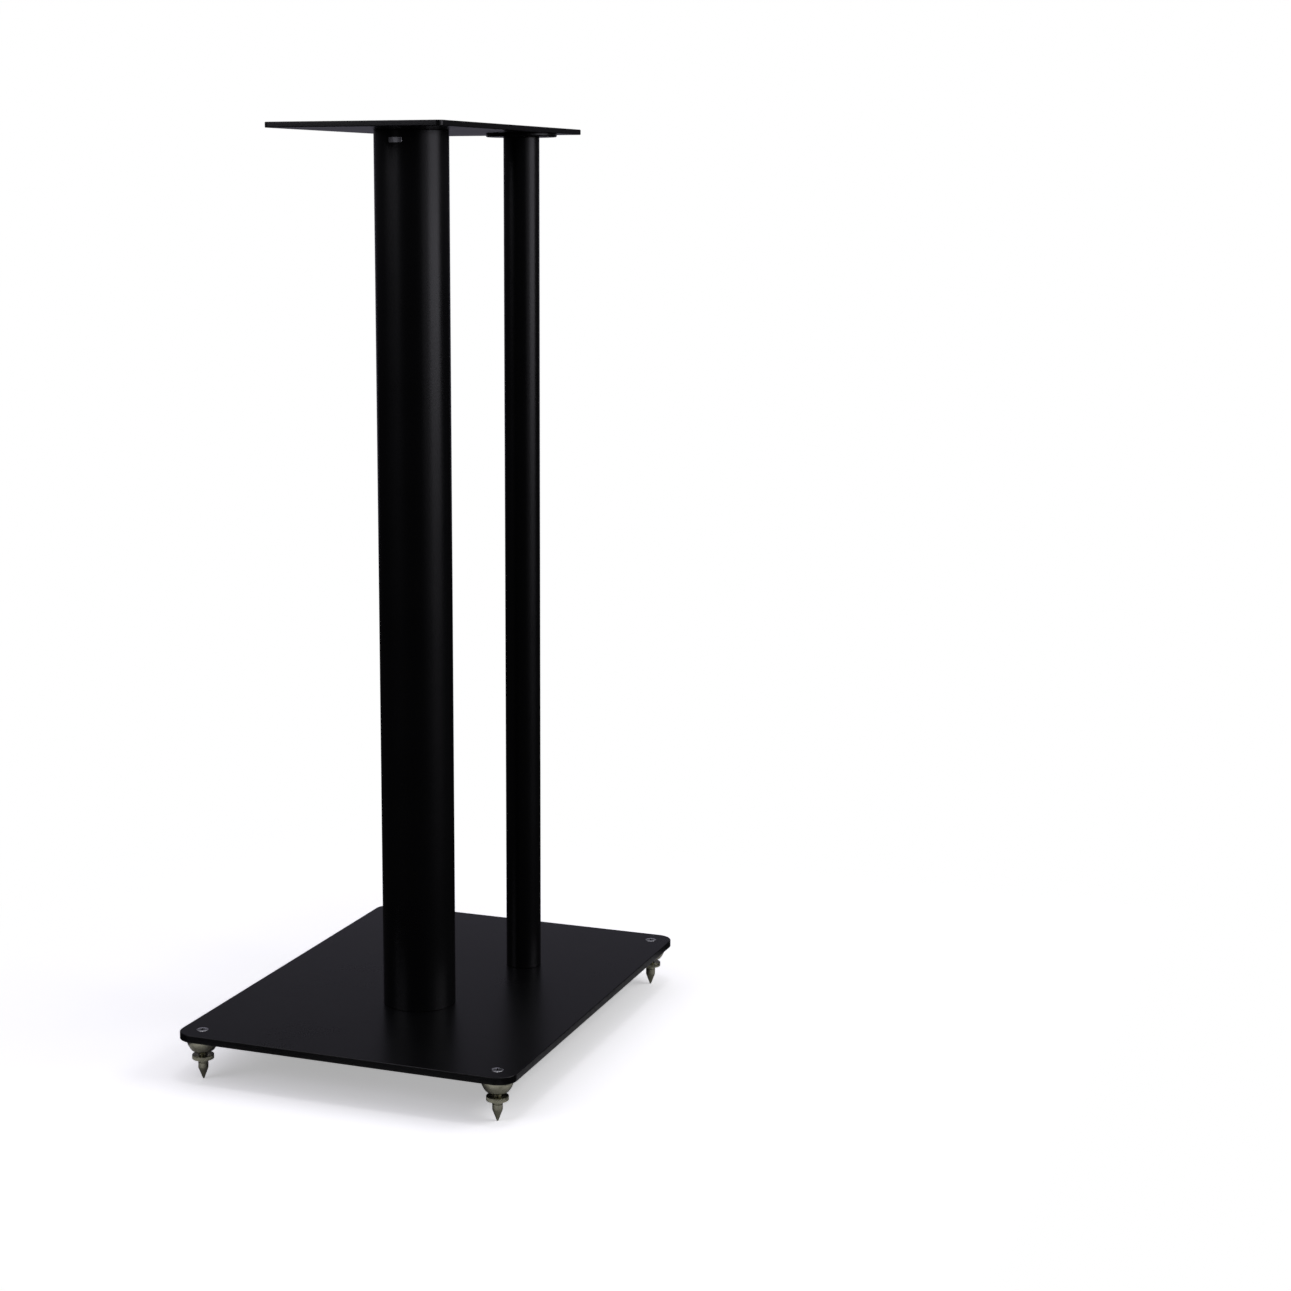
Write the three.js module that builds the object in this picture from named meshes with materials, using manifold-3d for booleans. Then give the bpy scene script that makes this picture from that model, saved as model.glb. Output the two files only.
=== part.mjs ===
// Speaker stand: a thin top plate carried by one thick and one thin round column on a steel
// base plate, which stands on four height-adjustable spikes with lock rings.
// Millimetres, +Z up. The origin is on the floor under the middle of the base plate, and the
// front faces -Y.

import * as THREE from "three";
import { mergeVertices } from "three/addons/utils/BufferGeometryUtils.js";
import Module from "manifold-3d";

const wasm = await Module();
wasm.setup();

// ---- driving dimensions -------------------------------------------------------------------

const overallHeight = 645;

// gaps between pieces
const fitGap = 0.3; // round a turned or threaded piece, and along a screw
const seatGap = 0.05; // between stacked faces, the thickness of the powder coat

// base plate
const baseWidth = 248;
const baseDepth = 334;
const baseThickness = 5.2; // 5 mm steel under its coat
const baseCornerRadius = 13;
const footInset = 14.75; // from each edge of the base to the middle of a foot

// top plate, set a little forward of the base
const topWidth = 126;
const topDepth = 249;
const topThickness = 3.7;
const topCornerRadius = 4;
const topCentreX = 4;
const topCentreY = -10.5;
const plateEdgeBreak = 0.4;

// columns
const tubeWall = 1.5;
const frontColumnX = 4;
const frontColumnY = -43;
const frontColumnRadius = 25.4;
const rearColumnX = 40.75;
const rearColumnY = 62.25;
const rearColumnRadius = 12.7;
const plugThickness = 10;
const flangeRadius = 25;
const flangeThickness = 2.5;

// name plate on the front column, left blank
const namePlateWidth = 9.5;
const namePlateHeight = 3.6;
const namePlateThickness = 0.6;
const namePlateDrop = 4.9; // from the top plate down to its upper edge

// countersunk screws that hold the top plate
const topScrew = { shankRadius: 3, headRadius: 5.9, length: 12 };
const hexSocketFlats = 4;
const hexSocketDepth = 2;

// hexagon bolts that hold the columns to the base, with a flat and a spring washer each
const frontBolt = {
  shankRadius: 4,
  length: 17,
  headFlats: 13,
  headHeight: 5.3,
  washerRadius: 12,
  washerThickness: 2,
  springRadius: 7.4,
  springThickness: 2,
};
const rearBolt = {
  shankRadius: 3,
  length: 15,
  headFlats: 10,
  headHeight: 4,
  washerRadius: 9,
  washerThickness: 1.6,
  springRadius: 5.8,
  springThickness: 1.6,
};
const springSlit = 1.6;

// feet, from the floor up
const tipRadius = 0.5;
const spikeConeHeight = 8;
const spikeRadius = 3.5;
const spikeBodyHeight = 4;
const studRadius = 3;
const studChamfer = 0.6;
const ringHubRadius = 3.5;
const ringHubHeight = 2.2;
const ringRadius = 7.5;
const ringThickness = 2.9;
const ringChamfer = 0.35;
const exposedThread = 2.7; // between the lock ring and the cup
const cupHeight = 9.5;
const cupBottomRadius = 6.9;
const cupTopRadius = 11.2;

// countersunk screw that holds each cup from above
const footScrew = { shankRadius: 2, headRadius: 4.2, bite: 3 };
const crossLength = 4.6;
const crossWidth = 1.1;
const crossDepth = 1.6;

// facets round a full turn
const columnFacets = 72;
const pieceFacets = 32;
const boreFacets = 20;
const cornerFacets = 6;
const cupRings = 6;

// ---- heights that follow -------------------------------------------------------------------

const shoulderZ = spikeConeHeight + spikeBodyHeight;
const ringZ = shoulderZ + fitGap;
const ringTopZ = ringZ + ringHubHeight + ringThickness;
const cupZ = ringTopZ + exposedThread;
const cupTopZ = cupZ + cupHeight;
const baseUndersideZ = cupTopZ + seatGap;
const baseTopZ = baseUndersideZ + baseThickness;
const topUndersideZ = overallHeight - topThickness;

// A spike screws up until its lock ring meets the cup, and its stud then stays clear of the
// screw above it.
const spikeTravelUp = exposedThread - fitGap;
const footScrewEndZ = cupTopZ - footScrew.bite;
const studTopZ = footScrewEndZ - fitGap - spikeTravelUp;

// ---- materials -----------------------------------------------------------------------------

const powderCoat = { color: 0x17171a, roughness: 0.42, metalness: 0.1 };
const nickel = { color: 0xb9b6ab, roughness: 0.28, metalness: 1 };
const zincSteel = { color: 0xa8abae, roughness: 0.4, metalness: 1 };
const brushedAluminium = { color: 0xd2d4d6, roughness: 0.35, metalness: 1 };
const bareSteel = { color: 0x6f7073, roughness: 0.5, metalness: 1 };

// ---- solids --------------------------------------------------------------------------------

// A geometry's positions with shared corners joined and triangles without area left out.
function welded(geometry) {
  const source = geometry.index ? geometry.toNonIndexed() : geometry;
  const bare = new THREE.BufferGeometry();
  bare.setAttribute("position", source.getAttribute("position"));
  const merged = mergeVertices(bare, 1e-4);
  const corners = merged.index.array;
  const kept = [];
  for (let i = 0; i < corners.length; i += 3) {
    const [a, b, c] = [corners[i], corners[i + 1], corners[i + 2]];
    if (a !== b && b !== c && c !== a) kept.push(a, b, c);
  }
  merged.setIndex(kept);
  return merged;
}

function solidOf(geometry) {
  const merged = welded(geometry);
  const mesh = new wasm.Mesh({
    numProp: 3,
    vertProperties: merged.getAttribute("position").array,
    triVerts: new Uint32Array(merged.index.array),
  });
  return new wasm.Manifold(mesh);
}

function geometryOf(solid) {
  const mesh = solid.getMesh();
  const geometry = new THREE.BufferGeometry();
  geometry.setAttribute("position", new THREE.BufferAttribute(mesh.vertProperties, 3));
  geometry.setIndex(new THREE.BufferAttribute(mesh.triVerts, 1));
  const faceted = geometry.toNonIndexed();
  faceted.computeVertexNormals();
  return faceted;
}

// The body with every cutter taken out of it.
function cut(geometry, cutters) {
  const body = cutters.reduce((left, cutter) => left.subtract(solidOf(cutter)), solidOf(geometry));
  return geometryOf(body);
}

function joined(geometries) {
  const [first, ...rest] = geometries.map(solidOf);
  return geometryOf(rest.reduce((sum, next) => sum.add(next), first));
}

// A solid of revolution about Z, from [radius, z] points that run up the outside.
function turned(profile, facets = pieceFacets) {
  const points = profile.map(([radius, z]) => new THREE.Vector2(radius, z));
  return new THREE.LatheGeometry(points, facets).rotateX(Math.PI / 2);
}

function disc(radius, lowZ, highZ, facets = pieceFacets) {
  return turned([[0, lowZ], [radius, lowZ], [radius, highZ], [0, highZ]], facets);
}

function ring(innerRadius, outerRadius, lowZ, highZ, facets = pieceFacets) {
  const section = [
    [innerRadius, lowZ],
    [outerRadius, lowZ],
    [outerRadius, highZ],
    [innerRadius, highZ],
    [innerRadius, lowZ],
  ];
  return turned(section, facets);
}

function hexagon(acrossFlats, lowZ, highZ) {
  return disc(acrossFlats / Math.sqrt(3), lowZ, highZ, 6);
}

// A flat plate with round corners and lightly broken edges, standing on z = 0.
function plate(width, depth, thickness, cornerRadius) {
  const [x, y] = [width / 2 - plateEdgeBreak, depth / 2 - plateEdgeBreak];
  const r = cornerRadius - plateEdgeBreak;
  const outline = new THREE.Shape();
  outline.absarc(x - r, y - r, r, 0, Math.PI / 2);
  outline.absarc(r - x, y - r, r, Math.PI / 2, Math.PI);
  outline.absarc(r - x, r - y, r, Math.PI, Math.PI * 1.5);
  outline.absarc(x - r, r - y, r, Math.PI * 1.5, Math.PI * 2);
  outline.closePath();
  const extruded = new THREE.ExtrudeGeometry(outline, {
    depth: thickness - 2 * plateEdgeBreak,
    curveSegments: cornerFacets,
    bevelThickness: plateEdgeBreak,
    bevelSize: plateEdgeBreak,
    bevelSegments: 1,
  });
  return extruded.translate(0, 0, plateEdgeBreak);
}

// The body of a countersunk screw that hangs down from z = headZ, made larger all round by grow.
// A cutter also reaches above the head, so that it opens the face that it cuts.
function countersunkBody(screw, headZ, endZ, grow = 0, above = 0) {
  const coneZ = headZ - (screw.headRadius - screw.shankRadius);
  const outside = [
    [0, endZ - grow],
    [screw.shankRadius + grow, endZ - grow],
    [screw.shankRadius + grow, coneZ],
    [screw.headRadius + grow, headZ],
  ];
  if (above > 0) outside.push([screw.headRadius + grow, headZ + above]);
  return turned([...outside, [0, headZ + above]], boreFacets);
}

const cutAbove = 5; // how far a cutter reaches past the face that it opens

// ---- the screws and what they hold together ------------------------------------------------

const topScrewHeadZ = overallHeight - seatGap;
const topScrewEndZ = topScrewHeadZ - topScrew.length;
const footScrewHeadZ = baseTopZ - seatGap;

const topScrewClearance = () =>
  countersunkBody(topScrew, topScrewHeadZ, topScrewEndZ, fitGap, cutAbove);
const footScrewClearance = () =>
  countersunkBody(footScrew, footScrewHeadZ, footScrewEndZ, fitGap, cutAbove);

function boltLevels(bolt) {
  const washerTopZ = baseUndersideZ - seatGap;
  const washerZ = washerTopZ - bolt.washerThickness;
  const springTopZ = washerZ - seatGap;
  const springZ = springTopZ - bolt.springThickness;
  const headTopZ = springZ - seatGap;
  return { washerZ, washerTopZ, springZ, springTopZ, headTopZ, endZ: headTopZ + bolt.length };
}

function boltClearance(bolt) {
  const { headTopZ, endZ } = boltLevels(bolt);
  return disc(bolt.shankRadius + fitGap, headTopZ, endZ + fitGap, boreFacets);
}

function topScrewGeometry() {
  const body = countersunkBody(topScrew, topScrewHeadZ, topScrewEndZ);
  const socket = hexagon(hexSocketFlats, topScrewHeadZ - hexSocketDepth, topScrewHeadZ + cutAbove);
  return cut(body, [socket]);
}

function footScrewGeometry() {
  const body = countersunkBody(footScrew, footScrewHeadZ, footScrewEndZ);
  const middleZ = footScrewHeadZ - crossDepth / 2 + cutAbove / 2;
  const slot = (width, depth) =>
    new THREE.BoxGeometry(width, depth, crossDepth + cutAbove).translate(0, 0, middleZ);
  return cut(body, [slot(crossLength, crossWidth), slot(crossWidth, crossLength)]);
}

function boltGeometry(bolt) {
  const { headTopZ, endZ } = boltLevels(bolt);
  const head = hexagon(bolt.headFlats, headTopZ - bolt.headHeight, headTopZ);
  const shank = disc(bolt.shankRadius, headTopZ - bolt.headHeight / 2, endZ, boreFacets);
  return joined([head, shank]);
}

function washerGeometry(bolt) {
  const { washerZ, washerTopZ } = boltLevels(bolt);
  return ring(bolt.shankRadius + fitGap, bolt.washerRadius, washerZ, washerTopZ);
}

// A split ring: the slit runs out along +X.
function springWasherGeometry(bolt) {
  const { springZ, springTopZ } = boltLevels(bolt);
  const whole = ring(bolt.shankRadius + fitGap, bolt.springRadius, springZ, springTopZ);
  const slitHeight = 2 * bolt.springThickness;
  const slit = new THREE.BoxGeometry(bolt.springRadius, springSlit, slitHeight);
  slit.translate(bolt.springRadius, 0, springZ + bolt.springThickness / 2);
  return cut(whole, [slit]);
}

// ---- the plates ------------------------------------------------------------------------------

const footPlaces = [
  [-1, -1],
  [1, -1],
  [1, 1],
  [-1, 1],
].map(([x, y]) => [x * (baseWidth / 2 - footInset), y * (baseDepth / 2 - footInset)]);

function basePlateGeometry() {
  const cutters = footPlaces.map(([x, y]) => footScrewClearance().translate(x, y, 0));
  cutters.push(boltClearance(frontBolt).translate(frontColumnX, frontColumnY, 0));
  cutters.push(boltClearance(rearBolt).translate(rearColumnX, rearColumnY, 0));
  const blank = plate(baseWidth, baseDepth, baseThickness, baseCornerRadius);
  return cut(blank.translate(0, 0, baseUndersideZ), cutters);
}

function topPlateGeometry() {
  const cutters = [
    topScrewClearance().translate(frontColumnX, frontColumnY, 0),
    topScrewClearance().translate(rearColumnX, rearColumnY, 0),
  ];
  const blank = plate(topWidth, topDepth, topThickness, topCornerRadius);
  return cut(blank.translate(topCentreX, topCentreY, topUndersideZ), cutters);
}

// ---- the columns, each about its own axis at x = y = 0 -----------------------------------------

// The tube ends under the top plate, or under a flange where it has one.
function tubeTopZ(flange) {
  const seatZ = topUndersideZ - seatGap;
  return flange ? seatZ - flangeThickness - seatGap : seatZ;
}

function tubeGeometry(radius, flange) {
  return ring(radius - tubeWall, radius, baseTopZ + seatGap, tubeTopZ(flange), columnFacets);
}

function footPlugGeometry(radius, bolt) {
  const lowZ = baseTopZ + seatGap;
  const plug = disc(radius - tubeWall - fitGap, lowZ, lowZ + plugThickness);
  const through = disc(bolt.shankRadius + fitGap, lowZ - cutAbove, lowZ + plugThickness + cutAbove);
  return cut(plug, [through]);
}

function topPlugGeometry(radius, flange) {
  const highZ = tubeTopZ(flange);
  const lowZ = highZ - plugThickness;
  const plug = disc(radius - tubeWall - fitGap, lowZ, highZ);
  const thread = disc(topScrew.shankRadius + fitGap, lowZ - cutAbove, highZ + cutAbove);
  return cut(plug, [thread, topScrewClearance()]);
}

function flangeGeometry() {
  const highZ = topUndersideZ - seatGap;
  const flange = disc(flangeRadius, highZ - flangeThickness, highZ, columnFacets);
  return cut(flange, [topScrewClearance()]);
}

// A blank plate curved to lie on the front of the column.
function namePlateGeometry() {
  const inner = frontColumnRadius + fitGap;
  const outer = inner + namePlateThickness;
  const half = namePlateWidth / 2 / outer;
  const front = -Math.PI / 2;
  const outline = new THREE.Shape();
  outline.absarc(0, 0, outer, front - half, front + half);
  outline.absarc(0, 0, inner, front + half, front - half, true);
  outline.closePath();
  const extruded = new THREE.ExtrudeGeometry(outline, {
    depth: namePlateHeight,
    curveSegments: cornerFacets,
    bevelEnabled: false,
  });
  return extruded.translate(0, 0, topUndersideZ - namePlateDrop - namePlateHeight);
}

// ---- the feet, each about its own axis, with its tip on the floor --------------------------------

function spikeGeometry() {
  const outside = [
    [0, 0],
    [tipRadius, 0],
    [spikeRadius, spikeConeHeight],
    [spikeRadius, shoulderZ],
    [studRadius, shoulderZ],
    [studRadius, studTopZ - studChamfer],
    [studRadius - studChamfer, studTopZ],
    [0, studTopZ],
  ];
  return turned(outside);
}

// A flanged ring nut: the disc on top, its narrow hub on the spike's shoulder.
function lockRingGeometry() {
  const bore = studRadius + fitGap;
  const discZ = ringZ + ringHubHeight;
  const section = [
    [bore, ringZ],
    [ringHubRadius, ringZ],
    [ringHubRadius, discZ],
    [ringRadius - ringChamfer, discZ],
    [ringRadius, discZ + ringChamfer],
    [ringRadius, ringTopZ - ringChamfer],
    [ringRadius - ringChamfer, ringTopZ],
    [bore, ringTopZ],
    [bore, ringZ],
  ];
  return turned(section);
}

// A bell-shaped cup, wide under the base. The screw enters from above, the stud from below.
function cupGeometry() {
  const wall = [];
  for (let i = 0; i <= cupRings; i += 1) {
    const t = i / cupRings;
    const spread = Math.sin((Math.PI / 2) * t) ** 0.8;
    const radius = cupBottomRadius + (cupTopRadius - cupBottomRadius) * spread;
    wall.push([radius, cupZ + cupHeight * t]);
  }
  const bell = turned([[0, cupZ], ...wall, [0, cupTopZ]]);
  const studBore = disc(studRadius + fitGap, cupZ - cutAbove, footScrewEndZ, boreFacets);
  return cut(bell, [studBore, footScrewClearance()]);
}

// ---- the stand -----------------------------------------------------------------------------------

function piece(name, geometry, finish) {
  const mesh = new THREE.Mesh(geometry, new THREE.MeshStandardMaterial(finish));
  mesh.name = name;
  return mesh;
}

function column(label, radius, bolt, flange) {
  const group = new THREE.Group();
  group.add(
    piece(`${label}_column`, tubeGeometry(radius, flange), powderCoat),
    piece(`${label}_foot_plug`, footPlugGeometry(radius, bolt), bareSteel),
    piece(`${label}_foot_bolt`, boltGeometry(bolt), zincSteel),
    piece(`${label}_foot_washer`, washerGeometry(bolt), zincSteel),
    piece(`${label}_spring_washer`, springWasherGeometry(bolt), zincSteel),
    piece(`${label}_top_plug`, topPlugGeometry(radius, flange), bareSteel),
    piece(`${label}_top_screw`, topScrewGeometry(), zincSteel),
  );
  return group;
}

function foot(number) {
  const group = new THREE.Group();
  group.add(
    piece(`spike_${number}`, spikeGeometry(), nickel),
    piece(`lock_ring_${number}`, lockRingGeometry(), nickel),
    piece(`spike_cup_${number}`, cupGeometry(), nickel),
    piece(`foot_screw_${number}`, footScrewGeometry(), zincSteel),
  );
  return group;
}

const stand = new THREE.Group();
stand.add(piece("base_plate", basePlateGeometry(), powderCoat));
stand.add(piece("top_plate", topPlateGeometry(), powderCoat));

const frontColumn = column("front", frontColumnRadius, frontBolt, false);
frontColumn.add(piece("name_plate", namePlateGeometry(), brushedAluminium));
frontColumn.position.set(frontColumnX, frontColumnY, 0);
stand.add(frontColumn);

const rearColumn = column("rear", rearColumnRadius, rearBolt, true);
rearColumn.add(piece("rear_column_flange", flangeGeometry(), powderCoat));
rearColumn.position.set(rearColumnX, rearColumnY, 0);
stand.add(rearColumn);

footPlaces.forEach(([x, y], index) => {
  const placed = foot(index + 1);
  placed.position.set(x, y, 0);
  stand.add(placed);
});

export default stand;
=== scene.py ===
"""A speaker stand on spike feet, dressed for a product photograph.

Metres, +Z up. The origin is on the floor under the middle of the base plate, the front faces -Y.
"""

import math

import bmesh
import bpy
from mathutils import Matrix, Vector


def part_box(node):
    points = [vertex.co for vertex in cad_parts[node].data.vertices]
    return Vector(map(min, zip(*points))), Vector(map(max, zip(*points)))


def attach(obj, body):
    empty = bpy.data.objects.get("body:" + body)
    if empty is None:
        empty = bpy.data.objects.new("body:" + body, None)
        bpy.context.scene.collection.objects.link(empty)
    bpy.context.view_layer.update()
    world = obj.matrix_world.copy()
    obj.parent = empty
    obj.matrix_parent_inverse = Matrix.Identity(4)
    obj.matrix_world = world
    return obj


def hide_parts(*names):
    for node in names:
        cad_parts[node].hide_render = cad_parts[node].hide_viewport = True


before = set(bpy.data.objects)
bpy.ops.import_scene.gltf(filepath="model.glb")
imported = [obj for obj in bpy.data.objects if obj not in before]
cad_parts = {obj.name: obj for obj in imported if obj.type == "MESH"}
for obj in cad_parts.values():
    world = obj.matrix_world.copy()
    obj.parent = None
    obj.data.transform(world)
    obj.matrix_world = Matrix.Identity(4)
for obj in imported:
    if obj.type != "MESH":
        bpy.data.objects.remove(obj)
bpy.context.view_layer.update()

MM = 0.001

# ---- sizes that the frame doesn't give ------------------------------------------------------

BASE_CORNER_RADIUS = 13 * MM
TOP_CORNER_RADIUS = 4 * MM
PLATE_EDGE_RADIUS = 0.5 * MM
TUBE_WALL = 1.5 * MM
COAT_EDGE = 0.35 * MM  # how round the coat makes the end of a tube
FLANGE_EDGE = 1.1 * MM

HEX_SOCKET_FLATS = 4 * MM
HEX_SOCKET_DEPTH = 2 * MM
SCREW_GAP = 0.3 * MM
TOP_SCREW_EDGE = 0.2 * MM
FOOT_SCREW_EDGE = 0.35 * MM
HEAD_DOME = 0.4 * MM  # how far a foot screw's head swells above its rim
DOME_STEPS = 12
DOME_START = 4  # the first steps would be shorter than the rounded edge
CROSS_LENGTH = 4.2 * MM
CROSS_WIDTH = 1.3 * MM
CROSS_DEPTH = 2.6 * MM
CROSS_TIP_SHARE = 0.3  # the radius of the cone's tip, as a share of CROSS_WIDTH
CROSS_WING_RISE = 0.1  # how far up the recess its wings begin, as a share of its depth
CROSS_WING_FOOT = (0.3, 0.55)  # a wing's length and width at its foot, as shares of those above
CROSS_MOUTH_RADIUS = 1.9 * MM  # the sloping rim round the recess
CROSS_MOUTH_DEPTH = 0.2 * MM
CROSS_MOUTH_SHARE = 0.85  # the radius of that rim's foot, as a share of CROSS_WIDTH
# how far each cross is turned, in degrees
CROSS_TURNS = {"foot_screw_1": 22, "foot_screw_2": 19, "foot_screw_3": 25, "foot_screw_4": 17}
RECESS_SKIN = 0.06 * MM  # faces this far inside a recess get the painted shade
SOCKET_SHADE = 0.6  # how wide the painted shade of a hexagon socket is, as a share of its flats

BOLT_FACE_SHARE = 0.97  # the flat under a bolt's head, as a share of the width over its flats
BOLT_CHAMFER = 30  # degrees
BOLT_TIP_EDGE = 0.5 * MM
BOLT_OVERLAP = 1 * MM  # how far the shank runs into the head, and the chamfer's tool past it
WASHER_EDGE = 0.25 * MM
SPRING_WASHER_EDGE = 0.12 * MM
SLIT_WIDTH = 1.2 * MM
SLIT_SLANT = 1.6 * MM
SLIT_CUTTER_HEIGHT = 3  # times as tall as the ring

THREAD_PITCH = 1.0 * MM
THREAD_DEPTH = 0.42 * MM
THREAD_STEPS = 10  # rows of points in one turn of the thread
FLANK_SLOPE = 2.6
FLANK_CREST = 0.2  # more of it makes the crest of the thread wider
KNURL_COUNT = 72
KNURL_DEPTH = 0.16 * MM
KNURL_SEGMENTS = 6  # segments of the mesh in each notch
RIM_SKIN = 0.02 * MM  # points this close to the ring's widest radius are knurled

ARC_STEPS = 5  # points round a softened edge
CORNER_STEPS = 20  # points round a plate's corner
TURN_SEGMENTS = 96
TUBE_SEGMENTS = 192
CUT_REACH = 6 * MM  # how far a cutter reaches past the face that it opens
ON_AXIS = 1e-7  # a profile's point is on the axis when it is closer than this
SHARP_ANGLE = 32  # degrees; edges that bend more than this stay hard


# ---- mesh making ----------------------------------------------------------------------------


def extent(node):
    """The middle of a CAD node on the plan, its radius along X, and its lowest and highest z."""
    low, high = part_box(node)
    middle = (low + high) / 2
    return Vector((middle.x, middle.y, 0)), (high.x - low.x) / 2, low.z, high.z


def softened(points, closed=False):
    """A profile of (radius, z) points in which a third number rounds that corner."""
    out = []
    count = len(points)
    for i, (r, z, *size) in enumerate(points):
        if not size or (not closed and i in (0, count - 1)):
            out.append((r, z))
            continue
        corner = Vector((r, z))
        before = (Vector(points[i - 1][:2]) - corner).normalized() * size[0] + corner
        after = (Vector(points[(i + 1) % count][:2]) - corner).normalized() * size[0] + corner
        for step in range(ARC_STEPS + 1):
            t = step / ARC_STEPS
            out.append(tuple(before * (1 - t) ** 2 + corner * 2 * t * (1 - t) + after * t**2))
    return out


def turned_mesh(profile, segments=TURN_SEGMENTS, closed=False, relief=None):
    """A body of revolution about its own axis. relief(r, z, angle) moves a point in or out."""
    bm = bmesh.new()
    rings = []
    for r, z in profile:
        if r < ON_AXIS:
            rings.append([bm.verts.new((0, 0, z))])
            continue
        ring = []
        for i in range(segments):
            angle = math.tau * i / segments
            reach = r + relief(r, z, angle) if relief else r
            ring.append(bm.verts.new((reach * math.cos(angle), reach * math.sin(angle), z)))
        rings.append(ring)
    pairs = list(zip(rings, rings[1:]))
    if closed:
        pairs.append((rings[-1], rings[0]))
    for low, high in pairs:
        for i in range(segments):
            j = (i + 1) % segments
            lower = [low[i % len(low)], low[j % len(low)]]
            upper = [high[j % len(high)], high[i % len(high)]]
            bm.faces.new(list(dict.fromkeys(lower + upper)))
    bmesh.ops.recalc_face_normals(bm, faces=bm.faces)
    return bm


def rounded_outline(width, depth, radius, steps):
    """The points of a rectangle with round corners, about its middle."""
    points = []
    for quarter, (sx, sy) in enumerate([(1, 1), (-1, 1), (-1, -1), (1, -1)]):
        for step in range(steps + 1):
            angle = math.pi / 2 * (quarter + step / steps)
            x = sx * (width / 2 - radius) + radius * math.cos(angle)
            y = sy * (depth / 2 - radius) + radius * math.sin(angle)
            points.append((x, y))
    return points


def plate_mesh(low, high, corner_radius, edge_radius):
    """A flat plate between two corners, with round corners and softened edges."""
    size = high - low
    middle = (low + high) / 2
    levels = []
    for step in range(ARC_STEPS + 1):
        angle = math.pi / 2 * step / ARC_STEPS
        inset = edge_radius * (1 - math.sin(angle))
        rise = edge_radius * (1 - math.cos(angle))
        levels.append((inset, rise))
    stack = [(inset, low.z + rise) for inset, rise in levels]
    stack += [(inset, high.z - rise) for inset, rise in reversed(levels)]
    bm = bmesh.new()
    rings = []
    for inset, z in stack:
        outline = rounded_outline(
            size.x - 2 * inset, size.y - 2 * inset, corner_radius - inset, CORNER_STEPS
        )
        rings.append([bm.verts.new((middle.x + x, middle.y + y, z)) for x, y in outline])
    for lower, upper in zip(rings, rings[1:]):
        count = len(lower)
        for i in range(count):
            j = (i + 1) % count
            bm.faces.new((lower[i], lower[j], upper[j], upper[i]))
    bm.faces.new(list(reversed(rings[0])))
    bm.faces.new(rings[-1])
    bmesh.ops.recalc_face_normals(bm, faces=bm.faces)
    return bm


def new_object(name, bm, place=Vector((0, 0, 0))):
    mesh = bpy.data.meshes.new(name)
    bm.to_mesh(mesh)
    bm.free()
    obj = bpy.data.objects.new(name, mesh)
    obj.location = place
    bpy.context.scene.collection.objects.link(obj)
    return obj


def carve(obj, cutters, operation="DIFFERENCE"):
    """Cuts every cutter out of obj, then deletes the cutters."""
    for cutter in cutters:
        modifier = obj.modifiers.new("carve", "BOOLEAN")
        modifier.operation = operation
        modifier.solver = "MANIFOLD"
        modifier.object = cutter
    bpy.context.view_layer.update()
    depsgraph = bpy.context.evaluated_depsgraph_get()
    carved = bpy.data.meshes.new_from_object(obj.evaluated_get(depsgraph))
    obj.modifiers.clear()
    obj.data = carved
    for cutter in cutters:
        bpy.data.objects.remove(cutter)


def smooth(obj):
    """Smooth shading that keeps the hard edges, with flat faces left flat."""
    obj.data.shade_smooth()
    obj.data.set_sharp_from_angle(angle=math.radians(SHARP_ANGLE))
    weights = obj.modifiers.new("weights", "WEIGHTED_NORMAL")
    weights.keep_sharp = True


def dress(obj, node, body, finish, in_recess=None):
    """Makes obj the shown form of a CAD node. Faces where in_recess(r, z) is true get painted
    shade, a near-black finish.
    """
    smooth(obj)
    obj.data.materials.clear()
    obj.data.materials.append(finish)
    if in_recess:
        obj.data.materials.append(RECESS_SHADE)
    for face in obj.data.polygons:
        x, y, z = face.center
        shaded = in_recess is not None and in_recess(math.hypot(x, y), z)
        face.material_index = int(shaded)
    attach(obj, body)
    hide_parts(node)


# ---- finishes ---------------------------------------------------------------------------------


# most values of a noise texture lie between these
NOISE_LOW, NOISE_HIGH = 0.3, 0.7

# the sockets of a Mix node that mixes colours
MIX_FACTOR, MIX_FIRST, MIX_SECOND, MIX_RESULT = 0, 6, 7, 2


def math_node(tree, operation, *values):
    """The output of a Math node. Each value is a number or another node's output."""
    made = tree.nodes.new("ShaderNodeMath")
    made.operation = operation
    for socket, value in zip(made.inputs, values):
        if isinstance(value, bpy.types.NodeSocket):
            tree.links.new(value, socket)
        else:
            socket.default_value = value
    return made.outputs[0]


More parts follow.
